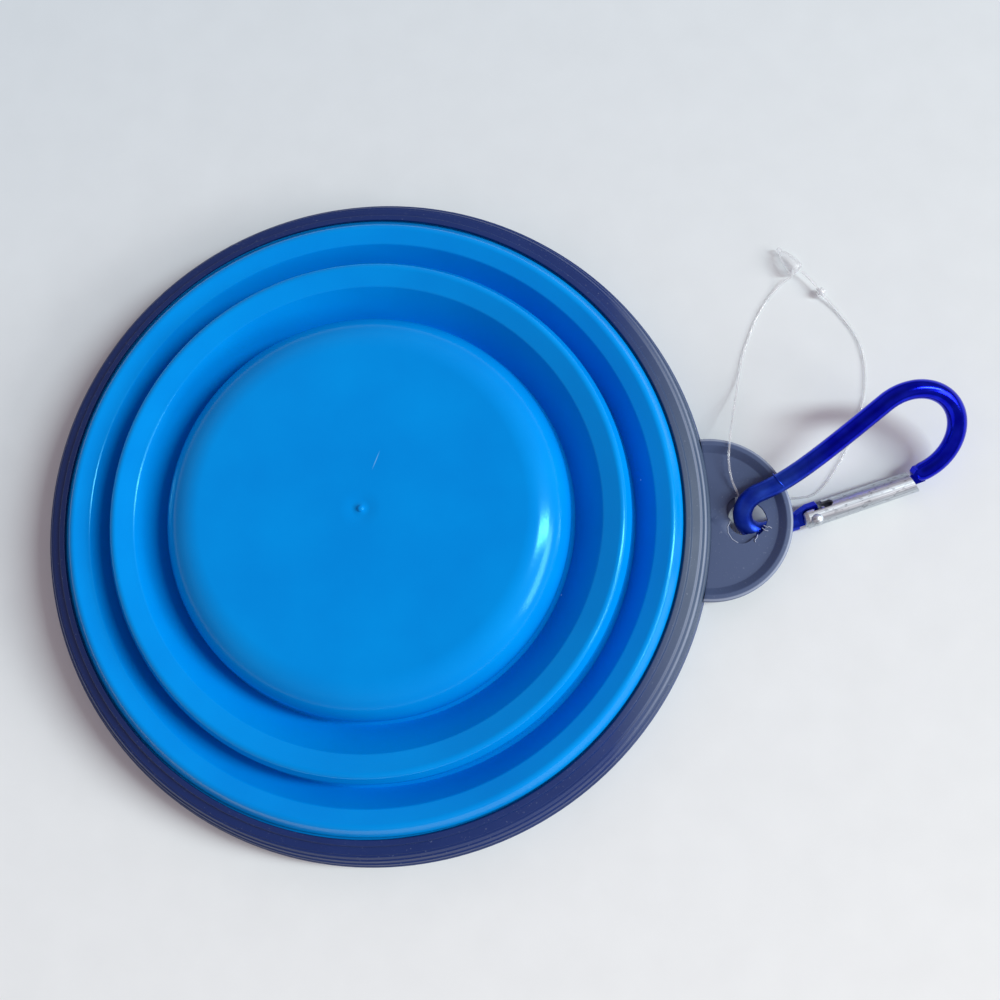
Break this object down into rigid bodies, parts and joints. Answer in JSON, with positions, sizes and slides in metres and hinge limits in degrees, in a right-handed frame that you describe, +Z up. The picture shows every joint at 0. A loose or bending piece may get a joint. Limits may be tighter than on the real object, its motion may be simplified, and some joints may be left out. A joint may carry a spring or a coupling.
{
  "type": "collapsible pet bowl",
  "caption": "Folding travel bowl of soft blue rubber with a grey plastic rim, folded flat and lying mouth down, with a snap hook and a tag loop on its ear.",
  "frame": {"origin": "on the bowl's axis, in the plane of the mouth, which lies on the table", "axes": "+X towards the ear and the hook, +Z up along the bowl's axis, out of the base"},
  "size_m": [0.1807, 0.1324, 0.0215],
  "materials": {
    "rim_grey": "satin moulded polypropylene, blue-grey",
    "rubber_blue": "smooth satin thermoplastic rubber, bright blue",
    "anodised_blue": "deep blue anodised rod, glossy",
    "bare_aluminium": "bare drawn aluminium, satin",
    "spring_steel": "bright steel wire and pin",
    "clear_nylon": "clear nylon"
  },
  "bodies": {
    "rim": {"rim_frame": "rim_grey", "clamp_ring": "rim_grey", "outer_collar": "rubber_blue", "outer_fold": "rubber_blue", "tag_loop": "clear_nylon", "tag_lock": "clear_nylon", "tag_ball": "clear_nylon"},
    "middle": {"middle_band": "rubber_blue", "inner_fold": "rubber_blue"},
    "base": {"base_cup": "rubber_blue"},
    "hook": {"carabiner_hook": "anodised_blue", "gate_rivet": "bare_aluminium"},
    "gate": {"carabiner_gate": "bare_aluminium", "gate_spring": "spring_steel", "gate_plunger": "spring_steel"}
  },
  "joints": [
    {"name": "outer_fold_pop", "type": "slide", "parent": "rim", "child": "middle", "axis": [0, 0, 1], "range_m": [0, 0.0127], "deforming": ["outer_fold"]},
    {"name": "inner_fold_pop", "type": "slide", "parent": "middle", "child": "base", "axis": [0, 0, 1], "range_m": [0, 0.0155], "deforming": ["inner_fold"]},
    {"name": "hook_swing", "type": "hinge", "parent": "rim", "child": "hook", "pos_m": [0.072, 0.0002, 0.0053], "axis": [0, 0, 1], "range_deg": [-45, 6]},
    {"name": "gate_hinge", "type": "hinge", "parent": "hook", "child": "gate", "pos_m": [0.08596, 0.00135, 0.0025], "axis": [0.205, -0.6092, 0.766], "range_deg": [0, 26], "stiffness_Nm_per_rad": 0.01, "springref_deg": -14.9}
  ]
}
